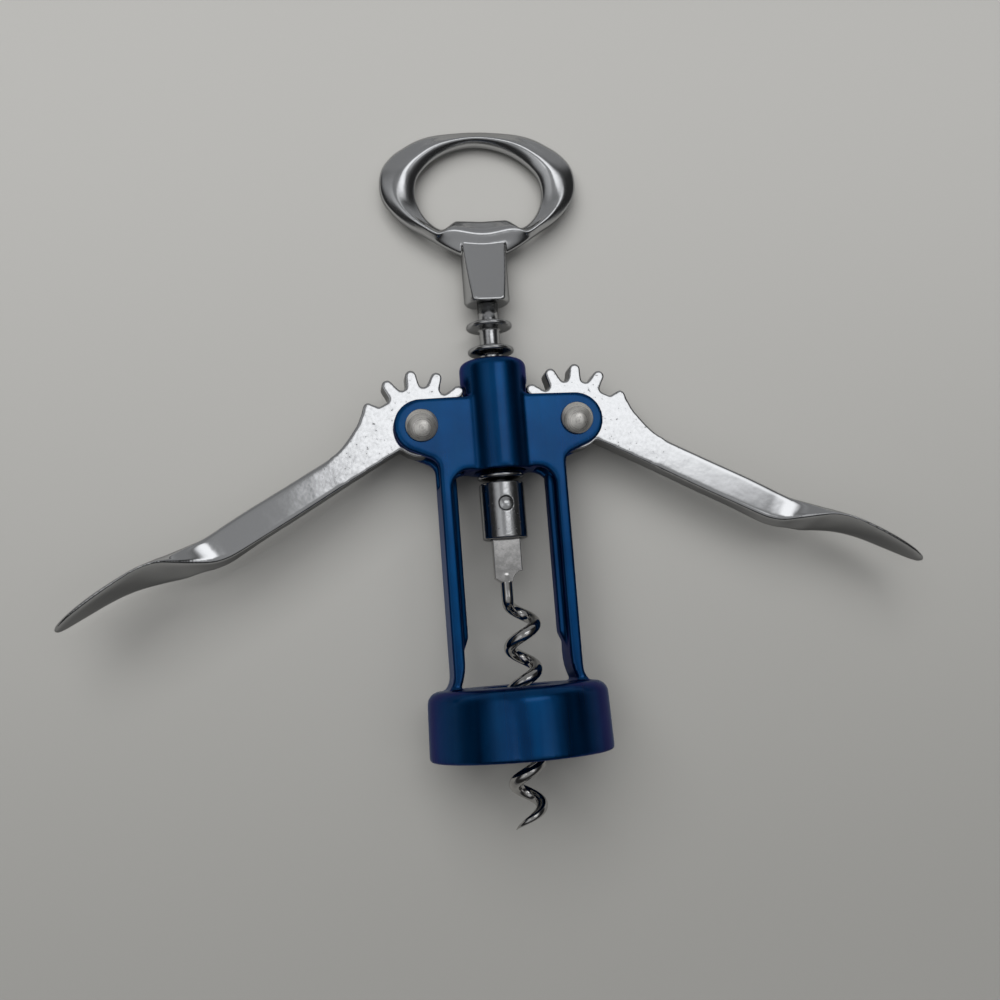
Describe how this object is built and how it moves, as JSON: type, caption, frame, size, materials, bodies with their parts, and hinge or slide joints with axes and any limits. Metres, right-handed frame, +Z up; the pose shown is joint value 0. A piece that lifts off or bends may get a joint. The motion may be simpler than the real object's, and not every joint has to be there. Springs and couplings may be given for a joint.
{
  "type": "wing corkscrew",
  "caption": "Wing corkscrew lying on its back: enamelled frame with an open bell, geared levers, a ring rack and a handle with a cap opener and worm.",
  "frame": {"origin": "centre of the bounding box seen from above, on the surface that the tool lies on", "axes": "+X to the lever on the right seen from the front, which faces up; +Y towards the opener ring; +Z up, out of the front of the tool. The tool's own axis lies in the plane X = 0 and falls 7.66 degrees towards +Y."},
  "size_m": [0.1785, 0.1442, 0.0378],
  "materials": {
    "blue_enamel": "dark metallic blue, satin gloss",
    "chrome": "bright chrome plate with small pits",
    "rough_chrome": "chrome plate on a rough casting",
    "satin_nickel": "satin, fine turned marks",
    "polished_steel": "polished dark steel wire"
  },
  "bodies": {
    "frame": {"frame_casting": "blue_enamel", "left_pivot_rivet": "satin_nickel", "right_pivot_rivet": "satin_nickel"},
    "left_lever": {"left_lever": "chrome"},
    "right_lever": {"right_lever": "chrome"},
    "rack": {"ring_rack": "rough_chrome"},
    "screw": {"handle": "chrome", "worm_collar": "rough_chrome", "cross_pin": "satin_nickel", "worm": "polished_steel"}
  },
  "joints": [
    {"name": "right_lever_swing", "type": "hinge", "parent": "frame", "child": "right_lever", "pos_m": [0.016, 0.00872, 0.0106], "axis": [0, 0.1334, 0.9911], "range_deg": [-56, 100]},
    {"name": "left_lever_swing", "type": "hinge", "parent": "frame", "child": "left_lever", "pos_m": [-0.016, 0.00872, 0.0106], "axis": [0, -0.1334, -0.9911], "range_deg": [-56, 100]},
    {"name": "rack_slide", "type": "slide", "parent": "frame", "child": "rack", "axis": [0, 0.9911, -0.1334], "range_m": [-0.01915, 0.01073]},
    {"name": "handle_spin", "type": "hinge", "parent": "rack", "child": "screw", "pos_m": [0, 0.03453, 0.00712], "axis": [0, 0.9911, -0.1334], "continuous": true}
  ],
  "couplings": [
    {"joint": "left_lever_swing", "follows": "right_lever_swing", "ratio": 1},
    {"joint": "rack_slide", "follows": "right_lever_swing", "m_per_rad": -0.010966}
  ]
}
